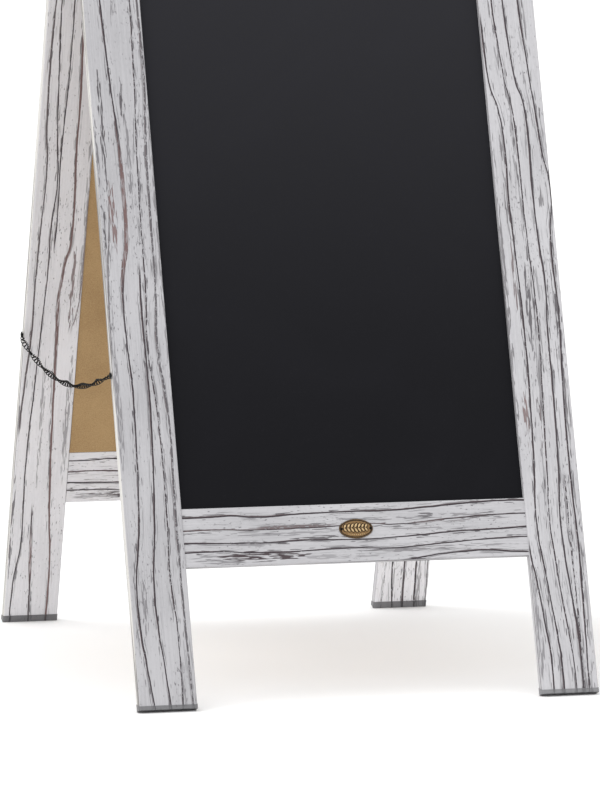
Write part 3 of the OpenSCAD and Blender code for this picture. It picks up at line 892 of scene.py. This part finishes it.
def badge_outline(angle):
    """How far from the middle a ray meets the oval of two flat arcs and two round ends."""
    end_x = BADGE_HALF_W - BADGE_END_R
    side_r = (end_x ** 2 + BADGE_HALF_H ** 2 - BADGE_END_R ** 2) / (2 * (BADGE_HALF_H - BADGE_END_R))
    drop = side_r - BADGE_HALF_H
    dx, dy = abs(math.cos(angle)), abs(math.sin(angle))
    on_side = -drop * dy + math.sqrt((drop * dy) ** 2 + side_r ** 2 - drop ** 2)
    if on_side * dx <= end_x * side_r / (side_r - BADGE_END_R):
        return on_side
    return end_x * dx + math.sqrt(BADGE_END_R ** 2 - (end_x * dy) ** 2)


def badge():
    """A domed oval badge with a rolled rim and plain leaves in place of any mark."""
    rings, around = 44, 200
    verts, faces = [], []

    def place(x, y, height):
        return panel_point(FRONT, x, RAIL_INSET + RAIL_T + height, BADGE_V + y)

    verts.append(place(0, 0, badge_height(0, 0, BADGE_HALF_H)))
    for ring in range(1, rings + 1):
        share = ring / rings
        for i in range(around):
            angle = math.tau * i / around
            reach = badge_outline(angle)
            x, y = reach * share * math.cos(angle), reach * share * math.sin(angle)
            verts.append(place(x, y, badge_height(x, y, reach * (1 - share))))
    for i in range(around):
        angle = math.tau * i / around
        reach = badge_outline(angle)
        verts.append(place(reach * math.cos(angle), reach * math.sin(angle), 0.0))
    for i in range(around):
        j = (i + 1) % around
        faces.append((0, 1 + i, 1 + j))
        for ring in range(rings):
            a, b = 1 + ring * around, 1 + (ring + 1) * around
            faces.append((a + i, b + i, b + j, a + j))
    last = 1 + rings * around
    faces.append(tuple(last + i for i in reversed(range(around))))
    piece = new_piece("badge", verts, faces, badge_metal())
    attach(piece, "front_panel")
    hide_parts("badge_plate")


# ---- stage ------------------------------------------------------------------------

CAMERA_TARGET = Vector((0.01271, 0.0, 0.2881))
CAMERA_AZIMUTH = math.radians(-14.69)
CAMERA_ELEVATION = math.radians(6.44)
CAMERA_DISTANCE = 7.2864
CAMERA_LENS = 294.55             # in millimetres, as the sensor's width is
SENSOR_W = 36.0
FLOOR_REACH = 40.0
SUN_AWAY = 5.0


def direction(azimuth, elevation):
    """A unit vector. The azimuth is measured from straight in front, towards the right."""
    level = math.cos(elevation)
    return Vector((math.sin(azimuth) * level, -math.cos(azimuth) * level, math.sin(elevation)))


def look_at(thing, target):
    thing.rotation_euler = (target - thing.location).to_track_quat("-Z", "Y").to_euler()


def camera():
    data = bpy.data.cameras.new("camera")
    data.lens = CAMERA_LENS
    data.sensor_width = SENSOR_W
    data.clip_end = 100.0
    thing = bpy.data.objects.new("camera", data)
    thing.location = CAMERA_TARGET + direction(CAMERA_AZIMUTH, CAMERA_ELEVATION) * CAMERA_DISTANCE
    look_at(thing, CAMERA_TARGET)
    bpy.context.scene.collection.objects.link(thing)
    bpy.context.scene.camera = thing


def sun(name, azimuth, elevation, strength, softness):
    """A soft sun, from angles in degrees."""
    data = bpy.data.lights.new(name, "SUN")
    data.energy = strength
    data.angle = math.radians(softness)
    thing = bpy.data.objects.new(name, data)
    thing.location = direction(math.radians(azimuth), math.radians(elevation)) * SUN_AWAY
    look_at(thing, Vector((0, 0, 0)))
    bpy.context.scene.collection.objects.link(thing)


def lights():
    sun("key", -35, 38, 0.3, 25)
    sun("fill", -65, 8, 0.25, 30)
    sun("left side", -92, 55, 0.75, 40)
    sun("low left", -96, 6, 0.2, 20)
    world = bpy.data.worlds.new("world")
    world.use_nodes = True
    backdrop = world.node_tree.nodes["Background"]
    backdrop.inputs["Color"].default_value = (1.0, 1.0, 1.0, 1.0)
    backdrop.inputs["Strength"].default_value = 1.1
    bpy.context.scene.world = world
    bpy.context.scene.view_settings.view_transform = "Standard"


def floor():
    material, graph = new_graph("floor_paint")
    place = object_place(graph)
    tone = graph.noise(place, 3.0, 3.0)
    graph.surface(graph.mix(tone, srgb(247, 247, 247), srgb(251, 251, 251)), 0.75, Specular_IOR_Level=0.2)
    corners = [(FLOOR_REACH * x, FLOOR_REACH * y, 0) for x, y in ((-1, -1), (1, -1), (1, 1), (-1, 1))]
    new_piece("floor", corners, [(0, 1, 2, 3)], material, smooth=False)


camera()
lights()
floor()
dress_wood()
black_metal = dress_boards_and_metal()
chain(black_metal)
badge()
